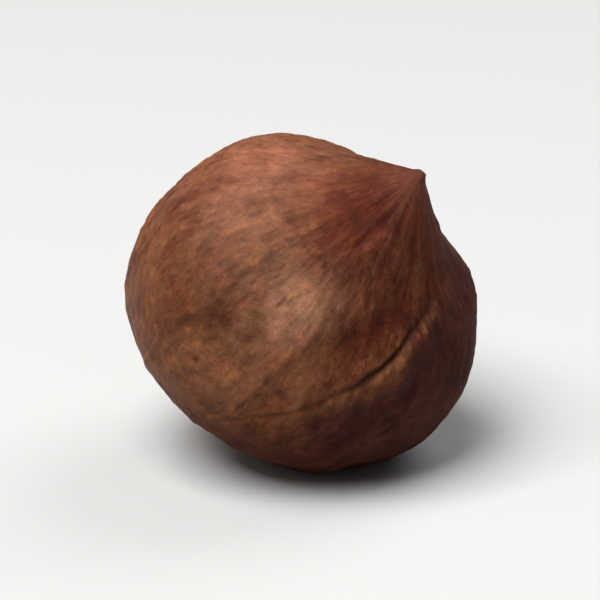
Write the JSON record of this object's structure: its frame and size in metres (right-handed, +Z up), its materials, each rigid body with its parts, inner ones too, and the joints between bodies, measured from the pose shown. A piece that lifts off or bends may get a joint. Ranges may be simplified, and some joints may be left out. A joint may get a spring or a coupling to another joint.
{
  "type": "hazelnut kernel",
  "caption": "Shelled hazelnut kernel, whole in its brown skin, a rounded body that draws in to a short pointed tip, lying on a small flat spot.",
  "frame": {"origin": "middle of the small flat spot that the kernel rests on", "axes": "+Z up, away from the surface it lies on; the tip leans towards +X and rises at about 48 degrees; +Y to the side"},
  "size_m": [0.0165, 0.016, 0.0153],
  "materials": {
    "brown_skin": "satin, thin papery skin with fine wrinkles"
  },
  "bodies": {
    "root": {"hazelnut_kernel": "brown_skin"}
  },
  "joints": []
}
